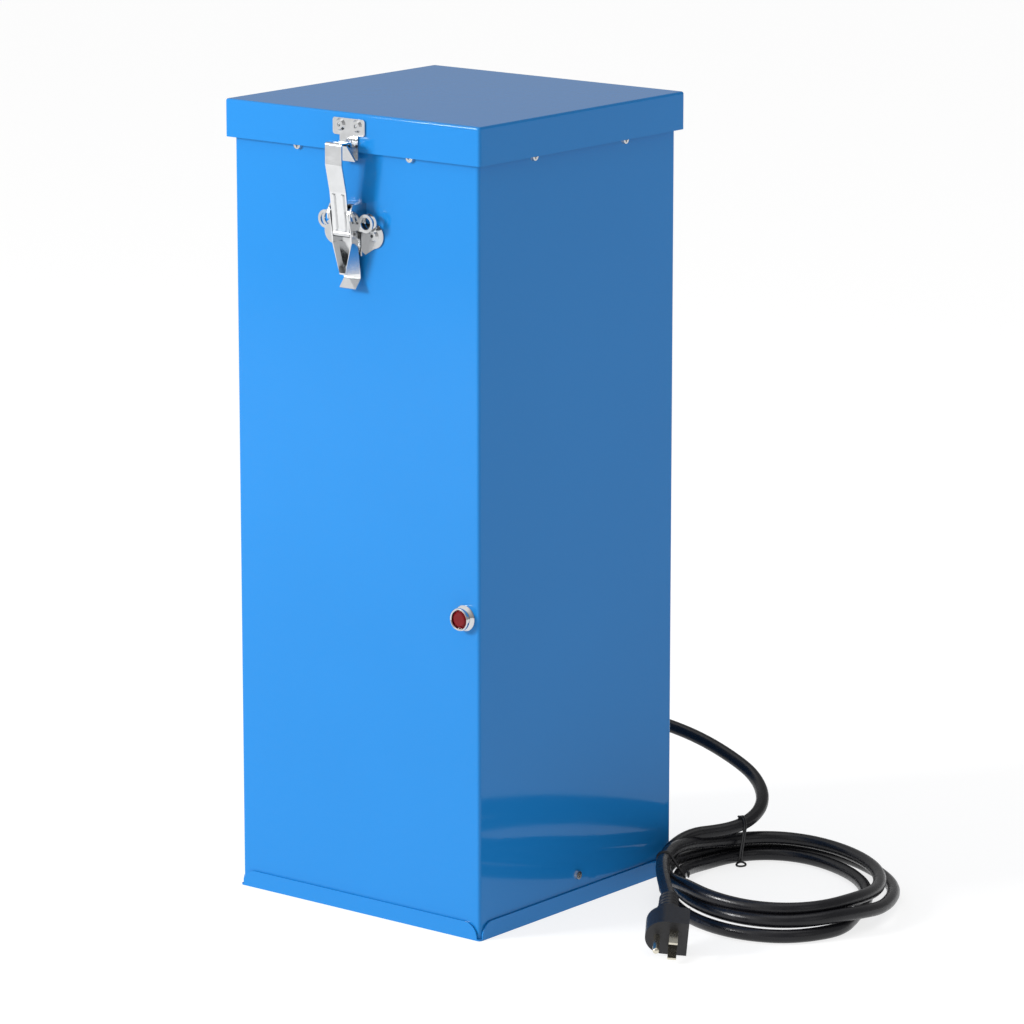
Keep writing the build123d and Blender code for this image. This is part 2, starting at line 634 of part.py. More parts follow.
skirt_in_y = LID_D / 2 - SHEET
with BuildPart() as hinge_leaf_lid:
    with BuildSketch(Plane.YZ):
        with BuildLine():
            Polyline(
                (skirt_in_y - LEAF_T, HINGE_Z + BORE_R),
                (skirt_in_y, HINGE_Z + BORE_R),
                (skirt_in_y, HINGE_Z + LID_LEAF_H),
                (skirt_in_y - LEAF_T, HINGE_Z + LID_LEAF_H),
                close=True,
            )
        make_face()
    extrude(amount=HINGE_L / 2, both=True)
    for x in knuckle_x[0::2]:
        hinge_cylinder(x, knuckle_pitch + KNUCKLE_GAP, SWEEP_R, Mode.SUBTRACT)
    for x in knuckle_x[1::2]:
        hinge_cylinder(x, knuckle_l, KNUCKLE_R)
    hinge_cylinder(0, HINGE_L + 1, BORE_R, Mode.SUBTRACT)
save(hinge_leaf_lid.part, "hinge_leaf_lid")

with BuildPart() as hinge_pin:
    hinge_cylinder(0, HINGE_L + 0.6, PIN_D / 2)
save(hinge_pin.part, "hinge_pin")

with BuildPart() as hinge_rivets:
    for x in hinge_rivet_x:
        blind_rivet(back(LEAF_T), x, HINGE_RIVET_Z, LEAF_T + SHEET + 4.0, 8.0, 1.4)
save(hinge_rivets.part, "hinge_rivets")

# ---------------------------------------------------------------- latch keeper, on the lid
keeper_z = OVERALL_H - KEEPER_TOP
keeper_out = KEEPER_BACK_OUT + LATCH_SHEET
with BuildPart() as keeper:
    with BuildSketch(front(KEEPER_BACK_OUT)) as keeper_plate:
        with Locations((0, keeper_z - KEEPER_H / 2)):
            Rectangle(KEEPER_W, KEEPER_H)
        fillet(keeper_plate.vertices(), 2.2)
        with Locations((0, keeper_z - KEEPER_H - 4)):
            Rectangle(KEEPER_NECK_W, 10.0)
        with Locations(*[(x, OVERALL_H - KEEPER_RIVET_DROP) for x in (-KEEPER_RIVET_X, KEEPER_RIVET_X)]):
            Circle(RIVET_D / 2, mode=Mode.SUBTRACT)
    extrude(amount=LATCH_SHEET)
    with BuildSketch(Plane.YZ):
        with BuildLine():
            FilletPolyline(
                at(KEEPER_BACK_OUT, keeper_z - KEEPER_H - 6),
                at(KEEPER_BACK_OUT, HOOK_FOOT_Z),
                at(KEEPER_BACK_OUT + 3.5, HOOK_FOOT_Z - 1.0),
                at(HOOK_OUT, HOOK_TIP_Z),
                radius=1.6,
            )
            offset(amount=LATCH_SHEET, side=Side.RIGHT)
        make_face()
    extrude(amount=KEEPER_NECK_W / 2, both=True)
save(keeper.part, "keeper")

with BuildPart() as keeper_rivets:
    for x in (-KEEPER_RIVET_X, KEEPER_RIVET_X):
        blind_rivet(front(keeper_out), x, OVERALL_H - KEEPER_RIVET_DROP, LATCH_SHEET + SHEET + 2.0)
save(keeper_rivets.part, "keeper_rivets")

# ---------------------------------------------------------------- latch base, on the casing
cheek_in = LEVER_W / 2 + CHEEK_GAP
cheek_out = cheek_in + LATCH_SHEET
FULCRUM_EYE_R = 3.3
CHEEK_STEP_OUT = BASE_EYE_OUT
SHELF_OUT = 10.4
with BuildPart() as latch_base:
    with BuildSketch(front()) as base_plate:
        with Locations((-BASE_RIVET_X, BASE_RIVET_Z), (BASE_RIVET_X, BASE_RIVET_Z)):
            Circle(BASE_EAR_R)
        with BuildLine():
            Polyline(
                (-BASE_RIVET_X - 0.83 * BASE_EAR_R, BASE_RIVET_Z - 0.56 * BASE_EAR_R),
                (-BASE_TIP_X, BASE_TIP_Z),
                (BASE_TIP_X, BASE_TIP_Z),
                (BASE_RIVET_X + 0.83 * BASE_EAR_R, BASE_RIVET_Z - 0.56 * BASE_EAR_R),
                (BASE_RIVET_X, BASE_RIVET_Z + 0.7 * BASE_EAR_R),
                (cheek_out, BASE_RIVET_Z + BASE_EAR_R),
                (cheek_out, BASE_TOP_Z),
                (-cheek_out, BASE_TOP_Z),
                (-cheek_out, BASE_RIVET_Z + BASE_EAR_R),
                (-BASE_RIVET_X, BASE_RIVET_Z + 0.7 * BASE_EAR_R),
                close=True,
            )
        make_face()
        with Locations((-BASE_RIVET_X, BASE_RIVET_Z), (BASE_RIVET_X, BASE_RIVET_Z)):
            Circle(RIVET_D / 2, mode=Mode.SUBTRACT)
    extrude(amount=LATCH_SHEET)
    for sign in (1, -1):
        with BuildSketch(Plane.YZ.offset(sign * cheek_in)):
            with BuildLine():
                Polyline(
                    at(0, BASE_TIP_Z),
                    at(5.0, BASE_TIP_Z),
                    at(CHEEK_STEP_OUT, EYE_Z - 6),
                    at(CHEEK_STEP_OUT, EYE_Z - 0.5),
                    at(FULCRUM_OUT + FULCRUM_EYE_R - 0.6, FULCRUM_Z - FULCRUM_EYE_R - 1.4),
                    at(FULCRUM_OUT + FULCRUM_EYE_R, FULCRUM_Z),
                    at(FULCRUM_OUT + FULCRUM_EYE_R - 1.4, BASE_TOP_Z - 3.0),
                    at(FULCRUM_OUT, BASE_TOP_Z),
                    at(0, BASE_TOP_Z),
                    close=True,
                )
            make_face()
            with Locations(at(FULCRUM_OUT, FULCRUM_Z)):
                Circle(FULCRUM_D / 2, mode=Mode.SUBTRACT)
        extrude(amount=sign * LATCH_SHEET)
    with BuildSketch(Plane.XY.offset(BASE_TOP_Z - LATCH_SHEET)):
        with Locations((0, FRONT_Y - SHELF_OUT / 2)):
            Rectangle(2 * cheek_in, SHELF_OUT)
    extrude(amount=LATCH_SHEET)
    with BuildSketch(front(BASE_EYE_OUT - LATCH_SHEET)):
        with Locations((-EYE_X, EYE_Z), (EYE_X, EYE_Z)):
            Circle(EYE_D / 2)
        with Locations((-(cheek_in + EYE_X) / 2, EYE_Z - 3.0), ((cheek_in + EYE_X) / 2, EYE_Z - 3.0)):
            Rectangle(EYE_X - cheek_in, 5.0)
        with Locations((-EYE_X, EYE_Z), (EYE_X, EYE_Z)):
            Circle(EYE_HOLE_D / 2, mode=Mode.SUBTRACT)
    extrude(amount=LATCH_SHEET)
save(latch_base.part, "latch_base")

with BuildPart() as latch_base_rivets:
    for x in (-BASE_RIVET_X, BASE_RIVET_X):
        blind_rivet(front(LATCH_SHEET), x, BASE_RIVET_Z, LATCH_SHEET + SHEET + 4.0)
save(latch_base_rivets.part, "latch_base_rivets")

# Two short pivots leave the middle free for the arm, which passes between them.
pivot_in = LEVER_W / 2 - LATCH_SHEET
with BuildPart() as fulcrum_pivots:
    for sign in (1, -1):
        with BuildSketch(Plane.YZ.offset(sign * pivot_in)):
            with Locations(at(FULCRUM_OUT, FULCRUM_Z)):
                Circle(FULCRUM_D / 2 - PIN_CLEARANCE)
        extrude(amount=sign * (cheek_out - pivot_in))
        with BuildSketch(Plane.YZ.offset(sign * cheek_out)):
            with Locations(at(FULCRUM_OUT, FULCRUM_Z)):
                Circle(FULCRUM_D / 2 + 1.0)
        extrude(amount=sign * 1.0, taper=25)
save(fulcrum_pivots.part, "fulcrum_pivots")

# ---------------------------------------------------------------- latch lever
LEVER_EYE_R = 3.5         # round the fulcrum
TROUGH_TIP_WALL = 1.2


def trough_section(z, front_w, back_w, front_out, back_out):
    """Trapezium across the lever's trough."""
    with BuildSketch(Plane.XY.offset(z)) as section:
        with BuildLine():
            Polyline(
                (-front_w / 2, FRONT_Y - front_out),
                (-back_w / 2, FRONT_Y - back_out),
                (back_w / 2, FRONT_Y - back_out),
                (front_w / 2, FRONT_Y - front_out),
                close=True,
            )
        make_face()
    return section.sketch.faces()[0]


trough_inner_w = LEVER_W - 2 * LATCH_SHEET
with BuildPart() as latch_lever:
    loft([
        trough_section(TROUGH_TOP_Z, LEVER_W, LEVER_W, TROUGH_FRONT_OUT, TROUGH_BACK_OUT),
        trough_section(TROUGH_TIP_Z, TROUGH_TIP_W, TONGUE_W, TROUGH_FRONT_OUT - 0.4, TONGUE_OUT),
    ])
    hollow_top = trough_section(
        TROUGH_TOP_Z,
        trough_inner_w,
        trough_inner_w,
        TROUGH_FRONT_OUT + 2,
        TROUGH_BACK_OUT + LATCH_SHEET,
    )
    hollow_tip = trough_section(
        TROUGH_TIP_Z + TROUGH_TIP_WALL,
        TROUGH_TIP_W - LATCH_SHEET,
        TONGUE_W - 2 * LATCH_SHEET,
        TROUGH_FRONT_OUT + 2,
        TONGUE_OUT + LATCH_SHEET,
    )
    loft([hollow_top, hollow_tip], mode=Mode.SUBTRACT)
    # side walls up to the fulcrum
    for sign in (1, -1):
        with BuildSketch(Plane.YZ.offset(sign * pivot_in)):
            with BuildLine():
                Polyline(
                    at(TROUGH_BACK_OUT, TROUGH_TOP_Z),
                    at(TROUGH_FRONT_OUT, TROUGH_TOP_Z),
                    at(ARM_PIN_OUT + 2.9, ARM_PIN_Z + 2.0),
                    at(FULCRUM_OUT + LEVER_EYE_R, FULCRUM_Z),
                    at(FULCRUM_OUT + LEVER_EYE_R - 1.0, FULCRUM_Z + 2.6),
                    at(FULCRUM_OUT, FULCRUM_Z + LEVER_EYE_R + 0.6),
                    at(FULCRUM_OUT - LEVER_EYE_R + 1.0, FULCRUM_Z + 2.6),
                    at(FULCRUM_OUT - LEVER_EYE_R, FULCRUM_Z),
                    at(LEVER_EYE_OUT - LATCH_SHEET, EYE_Z - 1.0),
                    at(TROUGH_BACK_OUT, EYE_Z - 7.0),
                    close=True,
                )
            make_face()
            with Locations(at(FULCRUM_OUT, FULCRUM_Z)):
                Circle(FULCRUM_D / 2, mode=Mode.SUBTRACT)
            with Locations(at(ARM_PIN_OUT, ARM_PIN_Z)):
                Circle(ARM_PIN_D / 2, mode=Mode.SUBTRACT)
        extrude(amount=sign * LATCH_SHEET)
    # web behind the arm's roll
    with BuildSketch(front(TROUGH_BACK_OUT)):
        with Locations((0, (TROUGH_TOP_Z + EYE_Z - 7.0) / 2)):
            Rectangle(LEVER_W, EYE_Z - 7.0 - TROUGH_TOP_Z)
    extrude(amount=LATCH_SHEET)
    # padlock eyes
    with BuildSketch(front(LEVER_EYE_OUT - LATCH_SHEET)):
        with Locations((-EYE_X, EYE_Z), (EYE_X, EYE_Z)):
            Circle(EYE_D / 2)
        with Locations((-(pivot_in + EYE_X) / 2, EYE_Z - 3.6), ((pivot_in + EYE_X) / 2, EYE_Z - 3.6)):
            Rectangle(EYE_X - pivot_in, 5.0)
        with Locations((-EYE_X, EYE_Z), (EYE_X, EYE_Z)):
            Circle(EYE_HOLE_D / 2, mode=Mode.SUBTRACT)
    extrude(amount=LATCH_SHEET)
    # tongue and flared finger tab
    with BuildSketch(Plane.YZ):
        with BuildLine():
            FilletPolyline(
                at(TONGUE_OUT + 0.6, TROUGH_TIP_Z + 4.0),
                at(TONGUE_OUT, TONGUE_Z),
                at(TAB_OUT, TAB_Z),
                radius=1.5,
            )
            offset(amount=LATCH_SHEET, side=Side.LEFT)
        make_face()
    extrude(amount=TONGUE_W / 2, both=True)
save(latch_lever.part, "latch_lever")

with BuildPart() as arm_pin:
    with BuildSketch(Plane.YZ):
        with Locations(at(ARM_PIN_OUT, ARM_PIN_Z)):
            Circle(ARM_PIN_D / 2 - PIN_CLEARANCE)
    extrude(amount=LEVER_W / 2, both=True)
    for sign in (1, -1):
        with BuildSketch(Plane.YZ.offset(sign * LEVER_W / 2)):
            with Locations(at(ARM_PIN_OUT, ARM_PIN_Z)):
                Circle(ARM_PIN_D / 2 + 0.9)
        extrude(amount=sign * 0.9, taper=25)
save(arm_pin.part, "arm_pin")

# ---------------------------------------------------------------- latch arm
arm_w = LEVER_W - 2 * LATCH_SHEET - 2 * ARM_CLEARANCE
ARM_TOP_Z = HOOK_TIP_Z + HOOK_CLEARANCE + LATCH_SHEET
LIP_OUT = 12.4            # back of the hook, out from the casing
LIP_DROP = 2.6
ROLL_R = ARM_PIN_D / 2 + LATCH_SHEET
BEAD_L = 28.0
BEAD_W = 3.6
BEAD_X = 4.2
BEAD_H = 1.2
knee = (ARM_FACE_OUT, OVERALL_H - ARM_KNEE_DROP)
waist = (ARM_WAIST_OUT, OVERALL_H - ARM_WAIST_DROP)
ankle = (ARM_PIN_OUT + ROLL_R, ARM_PIN_Z + 1.0)
with BuildPart() as latch_arm:
    with BuildSketch(Plane.YZ):
        with BuildLine():
            FilletPolyline(
                at(*ankle),
                at(*waist),
                at(*knee),
                at(ARM_FACE_OUT, ARM_TOP_Z),
                at(LIP_OUT, ARM_TOP_Z),
                at(LIP_OUT - 0.6, ARM_TOP_Z - LATCH_SHEET - LIP_DROP),
                radius=2.0,
            )
            offset(amount=LATCH_SHEET, side=Side.RIGHT)
        make_face()
    extrude(amount=arm_w / 2, both=True)
    with BuildSketch(Plane.YZ):
        with Locations(at(ARM_PIN_OUT, ARM_PIN_Z)):
            Circle(ROLL_R)
    extrude(amount=arm_w / 2, both=True)
    with BuildSketch(Plane.YZ):
        with Locations(at(ARM_PIN_OUT, ARM_PIN_Z)):
            Circle(ARM_PIN_D / 2)
    extrude(amount=arm_w, both=True, mode=Mode.SUBTRACT)
    shank_run = Vector(0, -(waist[0] - ankle[0]), waist[1] - ankle[1])
    bead_plane = Plane(
        origin=(0, FRONT_Y - (waist[0] + ankle[0]) / 2, (waist[1] + ankle[1]) / 2),
        x_dir=(1, 0, 0),
        z_dir=shank_run.rotate(Axis.X, 90),
    )
    with BuildSketch(bead_plane):
        with Locations((-BEAD_X, 0), (BEAD_X, 0)):
            SlotOverall(BEAD_L, BEAD_W, rotation=90)
    extrude(amount=BEAD_H, taper=30)
save(latch_arm.part, "latch_arm")

# ---------------------------------------------------------------- mains cord and plug
gland_axis = Axis((GLAND_X, 0, GLAND_Z), (0, 1, 0))
gland_plane = Plane(origin=(GLAND_X, BACK_Y, GLAND_Z), x_dir=(1, 0, 0), z_dir=(0, 0, 1))
bushing_in = CORD_D / 2
with BuildPart() as strain_relief:
    with BuildSketch(gland_plane):
        with BuildLine():
            Polyline(
                (bushing_in, -GLAND_BARREL_L),
                (GLAND_BARREL_D / 2 - FIT, -GLAND_BARREL_L),
                (GLAND_BARREL_D / 2 - FIT, 0),
                (GLAND_FLANGE_D / 2, 0),
                (GLAND_FLANGE_D / 2, GLAND_FLANGE_T),
                (GLAND_D / 2, GLAND_FLANGE_T),
                (GLAND_TIP_D / 2, GLAND_OUT),
                (bushing_in, GLAND_OUT),
                close=True,
            )
        make_face()
    revolve(axis=gland_axis)
save(strain_relief.part, "strain_relief")

with BuildPart() as locknut:
    with BuildSketch(back(-SHEET)):
        with Locations((-GLAND_X, GLAND_Z)):
            RegularPolygon(LOCKNUT_AF / math.sqrt(3), 6)
            Circle(GLAND_BARREL_D / 2, mode=Mode.SUBTRACT)
    extrude(amount=-LOCKNUT_T)
save(locknut.part, "locknut")

# the cord inside the casing, from the gland down to the terminal block
tail_y = INNER_D / 2 - 24.0
with BuildPart() as cord_tail:
    tube(
        [
            (GLAND_X, BACK_Y + GLAND_OUT / 2, GLAND_Z),
            (GLAND_X, tail_y, GLAND_Z),
            (GLAND_X, tail_y, 22.0),
            (GLAND_X, TERMINAL_Y + TERMINAL_D / 2 + 12.0, 12.0),
        ],
        CORD_D - 2 * FIT,
        11.0,
    )
save(cord_tail.part, "cord_tail")

# route of the free cord from the gland to the coil, points chosen by hand
cord_route = [
    (GLAND_X, BACK_Y + GLAND_OUT, GLAND_Z),
    (12.0, 160.0, 98.0),
    (26.0, 184.0, 97.0),
    (50.0, 197.0, 92.0),
    (84.0, 198.0, 83.0),
    (114.0, 198.0, 71.0),
    (136.0, 196.0, 52.0),
    (147.0, 190.0, 24.0),
]
RUN_SHARE = 0.45


def bend_radii(points):
    """Largest arc at each corner that the two runs beside it allow."""
    radii = []
    for before, corner, after in zip(points, points[1:], points[2:]):
        arriving = Vector(*corner) - Vector(*before)
        leaving = Vector(*after) - Vector(*corner)
        half_turn = math.radians(arriving.get_angle(leaving)) / 2
        radii.append(RUN_SHARE * min(arriving.length, leaving.length) / math.tan(half_turn))
    return radii


cord_radii = bend_radii(cord_route)
print("cord bend radii:", [round(r, 1) for r in cord_radii])
with BuildPart() as power_cord:
    with BuildLine() as cord_path:
        FilletPolyline(*cord_route, radius=cord_radii)
    cord_wire = cord_path.wires()[0]
    with BuildSketch(Plane(origin=cord_wire @ 0, z_dir=cord_wire % 0)):
        Circle(CORD_D / 2)
    sweep(path=cord_wire)
expected = math.pi * (CORD_D / 2) ** 2 * cord_wire.length
print("cord tube length", round(cord_wire.length, 1), "volume ratio", round(power_cord.part.volume / expected, 4))
save(power_cord.part, "power_cord")

# coil of the cord's other end, lying beside the casing's back right corner
COIL_X = 223.0
COIL_Y = 108.0
COIL_LONG = 118.0         # half length, outside
COIL_SHORT = 91.0         # half width, outside
COIL_BAND = 36.0          # width of the bundle of turns
COIL_H = 27.0
COIL_ANGLE = -51.0
coil_turn = math.radians(COIL_ANGLE)
coil_plane = Plane(
    origin=(COIL_X, COIL_Y, 0),
    x_dir=(math.cos(coil_turn), math.sin(coil_turn), 0),
    z_dir=(0, 0, 1),
)
with BuildPart() as cord_coil:
    with BuildSketch(coil_plane):
        Ellipse(COIL_LONG, COIL_SHORT)
        Ellipse(COIL_LONG - COIL_BAND, COIL_SHORT - COIL_BAND, mode=Mode.SUBTRACT)
    extrude(amount=COIL_H)
    fillet(cord_coil.edges().filter_by(Plane.XY), CORD_D / 2 - 1)
save(cord_coil.part, "cord_coil")

# the last stretch of the cord, off the top of the coil and into the plug
lead_route = [
    (150.0, 64.0, 32.0),
    (161.0, 44.0, 32.0),
    (178.0, 22.0, 32.0),
    (196.0, 1.0, 31.0),
    (214.3, -17.8, 28.5),
]
with BuildPart() as cord_lead:
    with BuildLine() as lead_path:
        FilletPolyline(*lead_route, radius=bend_radii(lead_route))
    lead_wire = lead_path.wires()[0]
    with BuildSketch(Plane(origin=lead_wire @ 0, z_dir=lead_wire % 0)):
        Circle(CORD_D / 2)
    sweep(path=lead_wire)
save(cord_lead.part, "cord_lead")

# wire ties round the bundle of turns
TIE_D = 1.6
tie_gap = 0.3
with BuildPart() as cord_ties:
    for along in (196.0, 269.0):
        ray = math.radians(along)
        mid_long = COIL_LONG - COIL_BAND / 2
        mid_short = COIL_SHORT - COIL_BAND / 2
        local_x = mid_long * math.cos(ray)
        local_y = mid_short * math.sin(ray)
        spot = coil_plane.from_local_coords(Vector(local_x, local_y, 0))
        across = coil_plane.from_local_coords(
            Vector(local_x + math.cos(ray) / mid_long, local_y + math.sin(ray) / mid_short, 0)
        ) - spot
        tie_plane = Plane(
            origin=(spot.X, spot.Y, COIL_H / 2 + TIE_D / 2),
            x_dir=across.normalized(),
            z_dir=across.normalized().cross(Vector(0, 0, 1)),
        )
        with BuildSketch(tie_plane):
            RectangleRounded(COIL_BAND + 2 * TIE_D, COIL_H + TIE_D, 6.0)
            RectangleRounded(COIL_BAND, COIL_H - TIE_D, 5.2, mode=Mode.SUBTRACT)
        extrude(amount=TIE_D / 2, both=True)
save(cord_ties.part, "cord_ties")

# moulded plug with two flat blades and a round ground pin
PLUG_ANGLE = -55.0
PLUG_TILT = -14.0
PLUG_ROLL = -5.0
PLUG_FACE = (245.4, -62.2, 14.9)
PLUG_H = 27.0             # across the blades
PLUG_W = 31.0             # from the ground side to the blade side
PLUG_L = 22.0
PLUG_GRIP_L = 12.0
PLUG_NECK_L = 22.0
PLUG_GRIP_W = 17.0
BLADE_W = 6.35
BLADE_T = 1.5
BLADE_L = 17.5
BLADE_PITCH = 12.7
GROUND_D = 4.8
GROUND_L = 20.6
GROUND_OFFSET = 11.9
BLADE_SIDE = 5.0          # blades from the middle of the face
tilt = math.radians(PLUG_TILT)
heading = math.radians(PLUG_ANGLE)
plug_dir = Vector(math.cos(heading) * math.cos(tilt), math.sin(heading) * math.cos(tilt), math.sin(tilt))
plug_right = Vector(-math.sin(heading), math.cos(heading), 0)
plug_side = plug_right.rotate(Axis((0, 0, 0), plug_dir), PLUG_ROLL)
plug_face = Plane(origin=PLUG_FACE, x_dir=plug_side, z_dir=plug_dir)
with BuildPart() as plug_body:
    with BuildSketch(plug_face) as plug_outline:
        with Locations((PLUG_H / 4, 0)):
            Rectangle(PLUG_W - PLUG_H / 2, PLUG_H)
        with Locations((PLUG_H / 2 - PLUG_W / 2, 0)):
            Circle(PLUG_H / 2)
    extrude(amount=-PLUG_L)
    with BuildSketch(plug_face.offset(-PLUG_L)):
        RectangleRounded(PLUG_GRIP_W, PLUG_GRIP_W, 5.0)
    extrude(amount=-PLUG_GRIP_L)
    with BuildSketch(plug_face.offset(-PLUG_L - PLUG_GRIP_L)):
        Circle(PLUG_GRIP_W / 2 - 1.5)
    with BuildSketch(plug_face.offset(-PLUG_L - PLUG_GRIP_L - PLUG_NECK_L)):
        Circle(CORD_D / 2 + 1.2)
    loft()
    blades_at = [(BLADE_SIDE, BLADE_PITCH / 2), (BLADE_SIDE, -BLADE_PITCH / 2)]
    with BuildSketch(plug_face):
        with Locations(*blades_at):
            Rectangle(BLADE_W, BLADE_T)
        with Locations((BLADE_SIDE - GROUND_OFFSET, 0)):
            Circle(GROUND_D / 2)
    extrude(amount=-8.0, mode=Mode.SUBTRACT)
save(plug_body.part, "plug_body")

with BuildPart() as plug_blades:
    with BuildSketch(plug_face.offset(-8.0)):
        with Locations(*blades_at):
            Rectangle(BLADE_W, BLADE_T)
    extrude(amount=BLADE_L + 8.0)
save(plug_blades.part, "plug_blades")

with BuildPart() as ground_pin:
    with BuildSketch(plug_face.offset(-8.0)):
        with Locations((BLADE_SIDE - GROUND_OFFSET, 0)):
            Circle(GROUND_D / 2)
    extrude(amount=GROUND_L + 8.0)
    pin_end = ground_pin.faces().filter_by(GeomType.PLANE).sort_by(Axis(PLUG_FACE, plug_dir))[-1]
    fillet(pin_end.edges(), GROUND_D / 2 - 0.3)
save(ground_pin.part, "ground_pin")
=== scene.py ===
import json
import math

import bmesh
import bpy
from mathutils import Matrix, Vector


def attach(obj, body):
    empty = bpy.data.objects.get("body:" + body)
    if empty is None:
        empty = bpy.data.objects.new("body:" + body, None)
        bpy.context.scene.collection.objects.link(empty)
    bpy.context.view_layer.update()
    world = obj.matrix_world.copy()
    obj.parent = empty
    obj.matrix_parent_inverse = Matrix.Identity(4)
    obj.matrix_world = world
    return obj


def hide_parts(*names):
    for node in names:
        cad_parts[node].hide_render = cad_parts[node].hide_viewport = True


# Welding-rod storage oven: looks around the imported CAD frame. Metres, front towards -Y, +Z up.

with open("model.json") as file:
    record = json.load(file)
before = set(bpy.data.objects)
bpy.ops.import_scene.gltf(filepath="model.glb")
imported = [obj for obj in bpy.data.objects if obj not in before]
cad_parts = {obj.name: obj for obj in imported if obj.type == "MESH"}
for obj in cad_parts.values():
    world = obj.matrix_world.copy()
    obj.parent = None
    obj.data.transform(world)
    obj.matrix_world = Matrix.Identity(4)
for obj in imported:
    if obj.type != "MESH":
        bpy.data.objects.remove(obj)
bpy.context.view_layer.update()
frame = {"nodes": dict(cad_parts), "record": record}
scene = bpy.context.scene
MM = 0.001


def add_object(name, data):
    piece = bpy.data.objects.new(name, data)
    scene.collection.objects.link(piece)
    return piece


# ---------------------------------------------------------------- camera
camera_data = bpy.data.cameras.new("camera")
camera_data.sensor_width = 36.0
camera_data.lens = 179.6
camera_data.clip_end = 50.0
camera = add_object("camera", camera_data)
camera.location = (2.367, -2.879, 1.112)
aim = Vector((0.0528, 0.0, 0.2916))
camera.rotation_euler = (aim - camera.location).to_track_quat("-Z", "Y").to_euler()
scene.camera = camera


# ---------------------------------------------------------------- materials
# sockets of a Mix node that mixes colours
MIX_FACTOR = 0
MIX_FIRST = 6
MIX_SECOND = 7
MIX_RESULT = 2


class Shader:
    """A Principled material whose colour, roughness and bump can vary with patterns in object space."""

    def __init__(self, name, colour, roughness, metallic=0.0):
        self.material = bpy.data.materials.new(name)
        self.material.use_nodes = True
        self.tree = self.material.node_tree
        self.out = self.tree.nodes["Principled BSDF"]
        self.colour = colour
        self.roughness = roughness
        self.out.inputs["Base Color"].default_value = (*colour, 1.0)
        self.out.inputs["Roughness"].default_value = roughness
        self.out.inputs["Metallic"].default_value = metallic
        self.coords = self.tree.nodes.new("ShaderNodeTexCoord").outputs["Object"]

    def set(self, **sockets):
        for name, value in sockets.items():
            self.out.inputs[name.replace("_", " ")].default_value = value
        return self

    def stretched(self, scale):
        mapping = self.tree.nodes.new("ShaderNodeMapping")
        mapping.inputs["Scale"].default_value = scale
        self.tree.links.new(self.coords, mapping.inputs["Vector"])
        return mapping.outputs["Vector"]

    def noise(self, scale, detail=3.0, stretch=None):
        node = self.tree.nodes.new("ShaderNodeTexNoise")
        node.inputs["Scale"].default_value = scale
        node.inputs["Detail"].default_value = detail
        self.tree.links.new(self.stretched(stretch) if stretch else self.coords, node.inputs["Vector"])
        return node.outputs["Fac"]

    def cells(self, scale):
        node = self.tree.nodes.new("ShaderNodeTexVoronoi")
        node.inputs["Scale"].default_value = scale
        self.tree.links.new(self.coords, node.inputs["Vector"])
        return node.outputs["Color"]

    def waves(self, scale, direction, distortion=0.0):
        node = self.tree.nodes.new("ShaderNodeTexWave")
        node.bands_direction = direction
        node.inputs["Scale"].default_value = scale
        node.inputs["Distortion"].default_value = distortion
        self.tree.links.new(self.coords, node.inputs["Vector"])
        return node.outputs["Fac"]

    def ramp(self, factor, low, high, start=0.3, end=0.7):
        node = self.tree.nodes.new("ShaderNodeMapRange")
        node.inputs["From Min"].default_value = start
        node.inputs["From Max"].default_value = end
        node.inputs["To Min"].default_value = low
        node.inputs["To Max"].default_value = high
        self.tree.links.new(factor, node.inputs["Value"])
        return node.outputs["Result"]

    def vary_colour(self, factor, darker, lighter):
        """Colour runs between two shades of the base colour."""
        node = self.tree.nodes.new("ShaderNodeMix")
        node.data_type = "RGBA"
        for socket, share in ((MIX_FIRST, darker), (MIX_SECOND, lighter)):
            shade = [min(1.0, c * share) for c in self.colour]
            node.inputs[socket].default_value = (*shade, 1.0)
        self.tree.links.new(factor, node.inputs[MIX_FACTOR])
        self.tree.links.new(node.outputs[MIX_RESULT], self.out.inputs["Base Color"])
        return self

    def vary_roughness(self, factor, spread):
        low, high = self.roughness - spread, self.roughness + spread
        self.tree.links.new(self.ramp(factor, low, high), self.out.inputs["Roughness"])
        return self

    def bump(self, factor, strength, distance):
        node = self.tree.nodes.new("ShaderNodeBump")
        node.inputs["Strength"].default_value = strength
        node.inputs["Distance"].default_value = distance
        self.tree.links.new(factor, node.inputs["Height"])
        self.tree.links.new(node.outputs["Normal"], self.out.inputs["Normal"])
        return self


def powder_coat():
    shader = Shader("powder_coat_blue", (0.012, 0.192, 0.53), 0.07)
    shader.set(Coat_Weight=0.04, Coat_Roughness=0.03, Specular_IOR_Level=0.2)
    shader.vary_colour(shader.noise(6.0, 2.0), 0.96, 1.05)
    shader.vary_roughness(shader.noise(40.0), 0.02)
    return shader.bump(shader.noise(520.0, 2.0), 0.05, 0.0002).material


def zinc_plate():
    shader = Shader("zinc_plate", (0.60, 0.61, 0.62), 0.15, 1.0)
    shader.vary_colour(shader.noise(90.0), 0.86, 1.08)
    shader.vary_roughness(shader.noise(300.0, 4.0), 0.06)
    return shader.bump(shader.noise(1400.0, 2.0, (1.0, 1.0, 0.15)), 0.08, 0.0002).material


def galvanised():
    shader = Shader("galvanised_sheet", (0.40, 0.415, 0.425), 0.45, 0.9)
    shader.vary_colour(shader.cells(120.0), 0.85, 1.1)
    shader.vary_roughness(shader.noise(160.0), 0.08)
    return shader.bump(shader.noise(700.0), 0.08, 0.0002).material


def polished_chrome():
    shader = Shader("lamp_chrome", (0.62, 0.63, 0.64), 0.08, 1.0)
    shader.vary_colour(shader.noise(200.0), 0.95, 1.02)
    return shader.vary_roughness(shader.noise(400.0, 4.0), 0.05).material


